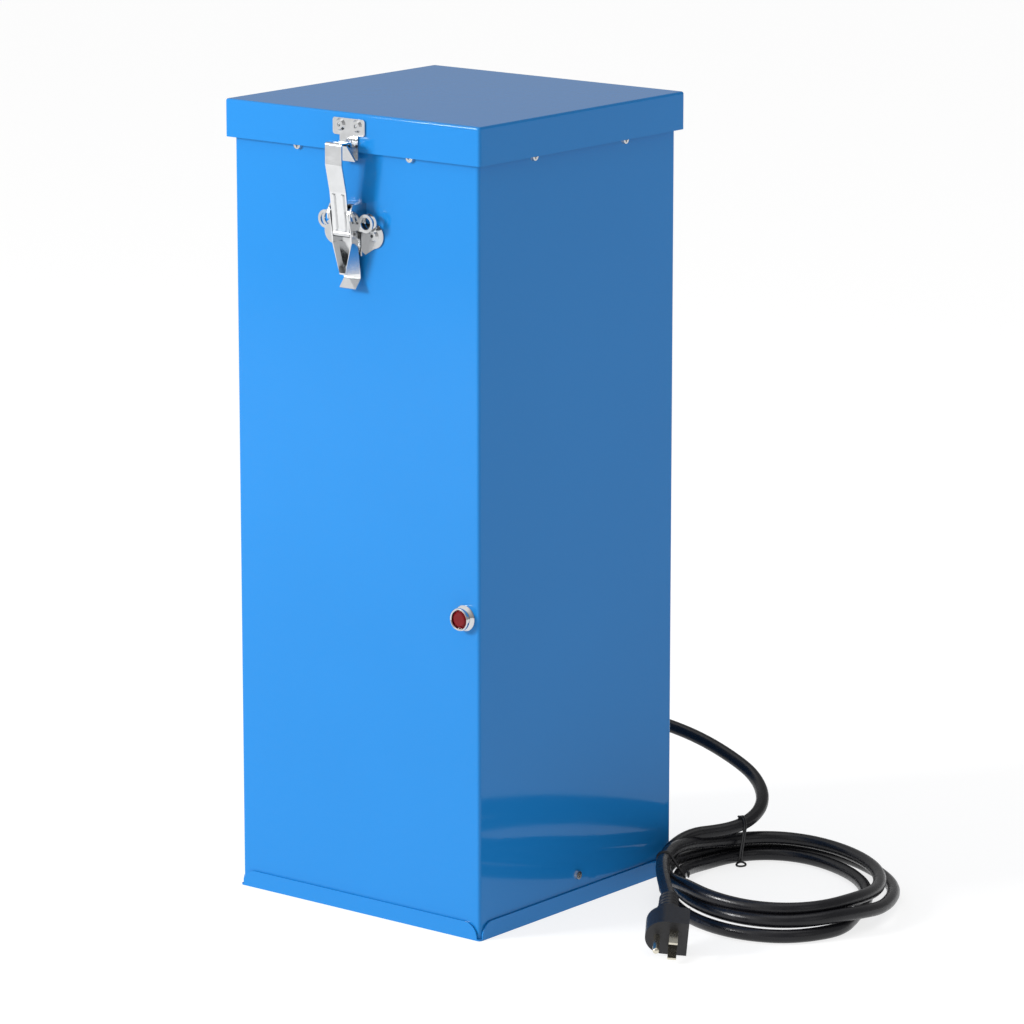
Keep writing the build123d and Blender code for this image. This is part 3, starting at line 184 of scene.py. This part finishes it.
def red_lens():
    shader = Shader("lamp_lens_red", (0.20, 0.002, 0.005), 0.10)
    shader.set(Transmission_Weight=0.3, IOR=1.3, Coat_Weight=0.02)
    shader.vary_colour(shader.noise(350.0), 0.8, 1.15)
    return shader.vary_roughness(shader.noise(500.0), 0.04).material


def black_moulding():
    shader = Shader("black_moulding", (0.008, 0.008, 0.010), 0.40)
    shader.vary_colour(shader.noise(80.0), 0.8, 1.5)
    shader.vary_roughness(shader.noise(400.0, 4.0), 0.08)
    return shader.bump(shader.noise(1800.0, 2.0), 0.2, 0.0002).material


def cord_jacket():
    shader = Shader("cord_jacket", (0.006, 0.006, 0.008), 0.30)
    shader.set(Specular_IOR_Level=0.35)
    shader.vary_colour(shader.noise(60.0, 4.0), 0.7, 1.7)
    shader.vary_roughness(shader.noise(350.0, 4.0), 0.08)
    return shader.bump(shader.noise(900.0, 3.0), 0.15, 0.0003).material


def mineral_wool():
    shader = Shader("mineral_wool", (0.55, 0.47, 0.24), 0.95)
    shader.vary_colour(shader.noise(400.0, 6.0, (1.0, 1.0, 5.0)), 0.6, 1.3)
    shader.set(Sheen_Weight=0.2)
    return shader.bump(shader.noise(900.0, 6.0, (1.0, 1.0, 4.0)), 0.7, 0.001).material


def gasket_fibre():
    shader = Shader("gasket_fibre", (0.62, 0.60, 0.54), 0.9)
    shader.vary_colour(shader.waves(260.0, "DIAGONAL", 2.0), 0.75, 1.1)
    shader.set(Sheen_Weight=0.25)
    return shader.bump(shader.waves(420.0, "DIAGONAL", 1.0), 0.5, 0.0006).material


def lead_sleeve():
    shader = Shader("glass_sleeve", (0.60, 0.57, 0.48), 0.8)
    shader.vary_colour(shader.waves(600.0, "DIAGONAL", 1.0), 0.7, 1.15)
    return shader.bump(shader.waves(900.0, "DIAGONAL"), 0.5, 0.0003).material


def nickel_brass():
    shader = Shader("nickel_brass", (0.70, 0.66, 0.55), 0.22, 1.0)
    shader.vary_colour(shader.noise(300.0), 0.85, 1.08)
    return shader.vary_roughness(shader.noise(900.0, 4.0, (1.0, 1.0, 0.2)), 0.07).material


def plain_brass():
    shader = Shader("terminal_brass", (0.62, 0.43, 0.16), 0.3, 1.0)
    shader.vary_colour(shader.noise(300.0), 0.8, 1.1)
    return shader.vary_roughness(shader.noise(700.0), 0.08).material


def phenolic():
    shader = Shader("phenolic", (0.52, 0.48, 0.38), 0.5)
    shader.vary_colour(shader.noise(200.0, 5.0), 0.85, 1.1)
    return shader.bump(shader.noise(1200.0), 0.15, 0.0002).material


def bulb_glass():
    shader = Shader("bulb_glass", (0.92, 0.90, 0.88), 0.06)
    shader.set(Transmission_Weight=0.9, IOR=1.45)
    return shader.vary_roughness(shader.noise(300.0), 0.03).material


def lamp_plastic():
    shader = Shader("lamp_plastic", (0.03, 0.03, 0.03), 0.5)
    shader.vary_colour(shader.noise(300.0), 0.8, 1.3)
    return shader.bump(shader.noise(1500.0), 0.15, 0.0002).material


cord_material = cord_jacket()
moulding_material = black_moulding()
zinc_material = zinc_plate()
blue_material = powder_coat()
slot_materials = {
    "blue_paint": blue_material,
    "zinc_steel": zinc_material,
    "galvanised": galvanised(),
    "mineral_wool": mineral_wool(),
    "fibre_gasket": gasket_fibre(),
    "lamp_chrome": polished_chrome(),
    "lamp_red": red_lens(),
    "lamp_case": lamp_plastic(),
    "bulb_glass": bulb_glass(),
    "black_rubber": moulding_material,
    "lead_sleeve": lead_sleeve(),
    "tie_black": moulding_material,
    "plug_metal": nickel_brass(),
    "terminal_plastic": phenolic(),
    "terminal_brass": plain_brass(),
}
for entry in frame["record"]["subparts"]:
    node = frame["nodes"][entry["node"]]
    node.data.materials.clear()
    node.data.materials.append(slot_materials[entry["material_slot"]])


# ---------------------------------------------------------------- mains cord
CORD_D = 10.0
COIL_CENTRE = Vector((223.0, 108.0, 0.0))
COIL_TURN = math.radians(-51.0)
COIL_LONG = 105.0
COIL_SHORT = 78.0
COIL_POINTS = 24          # in each turn
coil_along = Vector((math.cos(COIL_TURN), math.sin(COIL_TURN), 0.0))
coil_across = Vector((-math.sin(COIL_TURN), math.cos(COIL_TURN), 0.0))

# straight out of the gland, then down and across behind the casing
cord_route = [
    (12.0, 133.0, 98.0),
    (12.0, 160.0, 98.0),
    (20.0, 188.0, 93.0),
    (45.0, 205.0, 85.0),
    (78.0, 211.0, 76.0),
]
# then it swings onto the coil in one round bend, falling as it turns
SWING_CENTRE = (108.0, 172.0)
SWING_R = 43.0
SWING_FROM = 85.0
SWING_TO = -38.0
SWING_STEPS = 5
SWING_TOP = 61.0
SWING_LOW = 30.0
for i in range(SWING_STEPS + 1):
    share = i / SWING_STEPS
    turn = math.radians(SWING_FROM + (SWING_TO - SWING_FROM) * share)
    x = SWING_CENTRE[0] + SWING_R * math.cos(turn)
    y = SWING_CENTRE[1] + SWING_R * math.sin(turn)
    fall = 1.0 - (1.0 - share) ** 1.5
    cord_route.append((x, y, SWING_TOP + (SWING_LOW - SWING_TOP) * fall))
# and two more points bring it down to the outside of the first turn
cord_route += [
    (124.0, 124.5, 28.5),
    (121.0, 97.0, 17.0),
]
# off the coil and along to the plug
lead_route = [
    (161.0, 44.0, 30.5),
    (178.0, 22.0, 31.5),
    (196.0, 1.0, 31.0),
    (214.3, -17.8, 28.5),
]
# Places of the strands across the bundle, as outward offset and height. The ties hold them. Between
# the ties each strand has its own places, at shares of the free stretch, and they fan out. At the
# rear tie the cord's way in crosses on top, and the strands under it lie lower by SETTLED.
TIED = [(6.0, 5.2), (-1.5, 12.5), (8.0, 17.8), (0.5, 25.0)]
SETTLED = 7.3
REAR = [(outward, height - SETTLED) for outward, height in TIED]
LAST = (8.5, 28.0)
FIRST_IN = (18.0, 22.0)
ENTRY_PLACE = (-10.3, 33.1)      # of the cord's way in, where it crosses the rear tie
FREE = [
    [(0.0, TIED[0]), (0.3, (8.0, 5.2)), (0.4, (4.0, 5.2)), (0.52, (-13.0, 5.2)), (0.75, (-12.0, 5.2)),
     (1.0, REAR[1])],
    [(0.0, TIED[1]), (0.12, (0.0, 14.5)), (0.3, (2.0, 14.8)), (0.42, (3.0, 16.0)), (0.55, (7.0, 10.0)),
     (0.7, (8.0, 6.0)), (1.0, REAR[2])],
    [(0.0, TIED[2]), (0.1, (2.0, 24.6)), (0.25, (-5.0, 22.0)), (0.45, (-5.0, 22.0)), (0.6, (-3.0, 17.0)),
     (0.75, (-2.0, 15.5)), (1.0, REAR[3])],
]
TIE_START = 196.0         # the held stretch of each turn, in degrees round the coil
TIE_END = 268.0
WAY_IN = 60.0             # how far into the first held stretch the cord joins the coil
WAY_OUT = 4.0             # how far before the end of the last one it leaves
FULL_TURNS = 3
LIFT_AFTER = 25.0         # the strands rise from REAR to TIED past this
LIFT_OVER = 40.0          # and within this


def smooth(x):
    x = max(0.0, min(1.0, x))
    return x * x * (3.0 - 2.0 * x)


def between(a, b, share):
    return tuple(p + (q - p) * share for p, q in zip(a, b))


def strand_place(angle):
    """Outward offset and height of the wound cord at an angle counted on through all its turns."""
    turn = int((angle - TIE_START) // 360.0)
    within = angle - TIE_START - 360.0 * turn
    held = TIE_END - TIE_START
    if within <= held:
        if turn == 0:
            return between(FIRST_IN, TIED[0], smooth(within / held))
        lifted = between(REAR[turn], TIED[turn], smooth((within - LIFT_AFTER) / LIFT_OVER))
        if turn == FULL_TURNS:
            return between(lifted, LAST, smooth(within / held))
        return lifted
    share = (within - held) / (360.0 - held)
    keys = FREE[turn]
    for (start, place), (end, following) in zip(keys, keys[1:]):
        if share <= end:
            return between(place, following, smooth((share - start) / (end - start)))
    return keys[-1][1]


def coil_point(angle, place):
    outward, height = place
    turn = math.radians(angle)
    along = (COIL_LONG + outward) * math.cos(turn)
    across = (COIL_SHORT + outward) * math.sin(turn)
    return COIL_CENTRE + coil_along * along + coil_across * across + Vector((0.0, 0.0, height))


coil_start = TIE_START + WAY_IN
coil_end = TIE_END + FULL_TURNS * 360.0 - WAY_OUT
coil_steps = round((coil_end - coil_start) / 360.0 * COIL_POINTS)
coil_angles = [coil_start + (coil_end - coil_start) * i / coil_steps for i in range(coil_steps + 1)]
coil_points = [coil_point(angle, strand_place(angle)) for angle in coil_angles]


def spline_curve(name, points, radius, material):
    """Round tube along one smooth open spline."""
    data = bpy.data.curves.new(name, "CURVE")
    data.dimensions = "3D"
    spline = data.splines.new("NURBS")
    spline.points.add(len(points) - 1)
    for target, point in zip(spline.points, points):
        target.co = (*(Vector(point) * MM), 1.0)
    spline.order_u = 3
    spline.use_endpoint_u = True
    spline.resolution_u = 6
    data.bevel_depth = radius * MM
    data.bevel_resolution = 5
    data.use_fill_caps = True
    data.materials.append(material)
    return add_object(name, data)


whole_route = [*cord_route, *coil_points, *lead_route]
mains_cord = spline_curve("mains_cord", whole_route, CORD_D / 2, cord_material)
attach(mains_cord, "case")
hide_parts("power_cord", "cord_coil", "cord_lead")


# ties round the bundle
TIE_R = 0.8
TIE_SIDES = 48            # points in one loop of wire
TIE_STANDOFF = 0.5        # from the jacket to the middle of the wire
TIE_PITCH = 1.4           # between the two loops of a tie, in degrees round the coil


def tie(name, angle, places, extras):
    """Two loops of wire round the strands at one place of the coil, with extra loops for knot or tail."""
    hull = []
    stand = CORD_D / 2 + TIE_STANDOFF
    for i in range(TIE_SIDES):
        way = 2 * math.pi * i / TIE_SIDES
        facing = (math.cos(way), math.sin(way))
        reach = [p[0] * facing[0] + p[1] * facing[1] for p in places]
        far = places[reach.index(max(reach))]
        hull.append((far[0] + facing[0] * stand, far[1] + facing[1] * stand))
    data = bpy.data.curves.new(name, "CURVE")
    data.dimensions = "3D"
    loops = [[(angle + lift, outward, height) for outward, height in hull] for lift in (0.0, TIE_PITCH)]
    for loop in [*loops, *extras]:
        spline = data.splines.new("POLY" if loop in loops else "NURBS")
        spline.points.add(len(loop) - 1)
        for target, (around, outward, height) in zip(spline.points, loop):
            target.co = (*(coil_point(around, (outward, max(height, TIE_R))) * MM), 1.0)
        spline.use_cyclic_u = True
    data.bevel_depth = TIE_R * MM
    data.bevel_resolution = 2
    data.materials.append(moulding_material)
    piece = add_object(name, data)
    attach(piece, "case")
    return piece


REAR_AT = 200.0
SIDE_AT = 264.0
rear_places = [ENTRY_PLACE, *REAR[1:]]
side_places = [strand_place(SIDE_AT + 360.0 * turn) for turn in range(FULL_TURNS + 1)]
tail_loop = [
    (200.5, -6.5, 2.0),
    (205.0, -9.0, 1.0),
    (206.0, -15.0, 1.0),
    (200.0, -17.0, 1.0),
    (198.0, -10.0, 1.0),
]
rear_knot = [(202.0, -13.0, 39.2), (204.0, -10.0, 39.4), (202.0, -7.0, 37.6), (199.5, -10.0, 38.8)]
side_knot = [(266.0, -8.5, 20.0), (268.5, -10.0, 17.5), (266.0, -9.5, 14.0), (263.5, -10.5, 18.0)]
rear_tie = tie("cord_tie_rear", REAR_AT, rear_places, [tail_loop, rear_knot])
side_tie = tie("cord_tie_side", SIDE_AT, side_places, [side_knot])
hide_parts("cord_ties")


# ---------------------------------------------------------------- turned and moulded details
def revolved(name, profile, start, axis, material, segments=48):
    """Turned piece from (distance along, radius) pairs in millimetres."""
    axis = axis.normalized()
    side = axis.orthogonal().normalized()
    up = axis.cross(side)
    mesh = bmesh.new()
    rings = []
    for along, radius in profile:
        ring = []
        for i in range(segments):
            turn = 2 * math.pi * i / segments
            spot = start + axis * along + (side * math.cos(turn) + up * math.sin(turn)) * radius
            ring.append(mesh.verts.new(spot * MM))
        rings.append(ring)
    for low, high in zip(rings, rings[1:]):
        for i in range(segments):
            j = (i + 1) % segments
            mesh.faces.new((low[i], low[j], high[j], high[i]))
    mesh.faces.new(list(reversed(rings[0])))
    mesh.faces.new(rings[-1])
    bmesh.ops.recalc_face_normals(mesh, faces=mesh.faces)
    data = bpy.data.meshes.new(name)
    mesh.to_mesh(data)
    mesh.free()
    for face in data.polygons:
        face.use_smooth = True
    data.materials.append(material)
    return add_object(name, data)


RIB_STEPS = 8             # rings of the mesh in one rib


def ribbed(length, radius_start, radius_end, ribs, depth):
    """Profile of a tapering sleeve with ribs round it."""
    steps = ribs * RIB_STEPS
    profile = []
    for i in range(steps + 1):
        share = i / steps
        swell = depth * 0.5 * (1 - math.cos(2 * math.pi * share * ribs))
        profile.append((length * share, radius_start + (radius_end - radius_start) * share + swell))
    return profile


PLUG_FACE = Vector((245.4, -62.2, 14.9))
PLUG_HEADING = math.radians(-55.0)
PLUG_TILT = math.radians(-14.0)
PLUG_L = 34.0
NECK_L = 22.0
plug_forward = Vector((
    math.cos(PLUG_HEADING) * math.cos(PLUG_TILT),
    math.sin(PLUG_HEADING) * math.cos(PLUG_TILT),
    math.sin(PLUG_TILT),
))
plug_neck = revolved(
    "plug_neck",
    ribbed(NECK_L, radius_start=7.2, radius_end=6.3, ribs=5, depth=0.9),
    PLUG_FACE - plug_forward * PLUG_L,
    -plug_forward,
    moulding_material,
)
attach(plug_neck, "case")

SLEEVE_L = 24.0
gland_sleeve = revolved(
    "gland_sleeve",
    ribbed(SLEEVE_L, radius_start=8.6, radius_end=5.9, ribs=6, depth=0.7),
    Vector((12.0, 118.2, 98.0)),
    Vector((0.0, 1.0, 0.0)),
    moulding_material,
)
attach(gland_sleeve, "case")

# ---------------------------------------------------------------- rounded edges, as bevel widths
ROUNDED = {
    "lid_shell": 0.8,
    "outer_casing": 0.3,
    "base_pan": 0.4,
    "latch_lever": 0.25,
    "latch_arm": 0.3,
    "latch_base": 0.3,
    "keeper": 0.3,
    "plug_body": 1.2,
    "latch_base_rivets": 0.5,
    "keeper_rivets": 0.5,
    "collar_screws": 0.4,
    "side_screws": 0.4,
}
for name, width in ROUNDED.items():
    bevel = frame["nodes"][name].modifiers.new("edge", "BEVEL")
    bevel.width = width * MM
    bevel.segments = 2
    bevel.limit_method = "ANGLE"
    bevel.angle_limit = math.radians(35.0)
    bevel.harden_normals = False

# ---------------------------------------------------------------- floor and light
floor_data = bpy.data.meshes.new("floor")
FLOOR_HALF = 12.0
floor_data.from_pydata(
    [(x * FLOOR_HALF, y * FLOOR_HALF, 0.0) for x, y in ((-1, -1), (1, -1), (1, 1), (-1, 1))],
    [],
    [(0, 1, 2, 3)],
)
floor = add_object("floor", floor_data)
floor_shader = Shader("floor_pale", (0.30, 0.30, 0.30), 0.7)
floor_shader.set(Emission_Color=(1.0, 1.0, 1.0, 1.0), Emission_Strength=0.78, Specular_IOR_Level=0.1)
floor_shader.vary_colour(floor_shader.noise(3.0), 0.99, 1.01)
floor_data.materials.append(floor_shader.material)

# a white studio, open to the front and left and dimmer elsewhere
WORLD_DIM = 0.36
WORLD_OPEN = 1.05
world = bpy.data.worlds.new("studio")
world.use_nodes = True
world_tree = world.node_tree
background = world_tree.nodes["Background"]
direction = world_tree.nodes.new("ShaderNodeTexCoord")
parts = world_tree.nodes.new("ShaderNodeSeparateXYZ")
world_tree.links.new(direction.outputs["Generated"], parts.inputs["Vector"])
faded = []
for axis, start, end in (("X", -0.15, 0.45), ("Y", -0.1, 0.4)):
    falloff = world_tree.nodes.new("ShaderNodeMapRange")
    falloff.inputs["From Min"].default_value = start
    falloff.inputs["From Max"].default_value = end
    falloff.inputs["To Min"].default_value = 1.0
    falloff.inputs["To Max"].default_value = 0.0
    world_tree.links.new(parts.outputs[axis], falloff.inputs["Value"])
    faded.append(falloff.outputs["Result"])
open_side = world_tree.nodes.new("ShaderNodeMath")
open_side.operation = "MULTIPLY"
for socket, share in zip(open_side.inputs, faded):
    world_tree.links.new(share, socket)
strength = world_tree.nodes.new("ShaderNodeMapRange")
strength.inputs["To Min"].default_value = WORLD_DIM
strength.inputs["To Max"].default_value = WORLD_OPEN
world_tree.links.new(open_side.outputs["Value"], strength.inputs["Value"])
world_tree.links.new(strength.outputs["Result"], background.inputs["Strength"])
background.inputs["Color"].default_value = (1.0, 1.0, 1.0, 1.0)
scene.world = world
scene.view_settings.view_transform = "Standard"


def softbox(name, place, target, width, height, power):
    data = bpy.data.lights.new(name, "AREA")
    data.shape = "RECTANGLE"
    data.size = width
    data.size_y = height
    data.energy = power
    light = add_object(name, data)
    light.location = place
    light.rotation_euler = (Vector(target) - Vector(place)).to_track_quat("-Z", "Y").to_euler()


softbox("key", (-1.3, -2.1, 1.25), (0.0, 0.0, 0.35), 0.6, 0.6, 62.0)
softbox("top", (0.2, 0.3, 2.4), (0.0, 0.0, 0.3), 1.6, 1.6, 6.0)
softbox("side", (2.6, -0.6, 1.4), (0.1, 0.0, 0.3), 1.0, 1.6, 3.0)
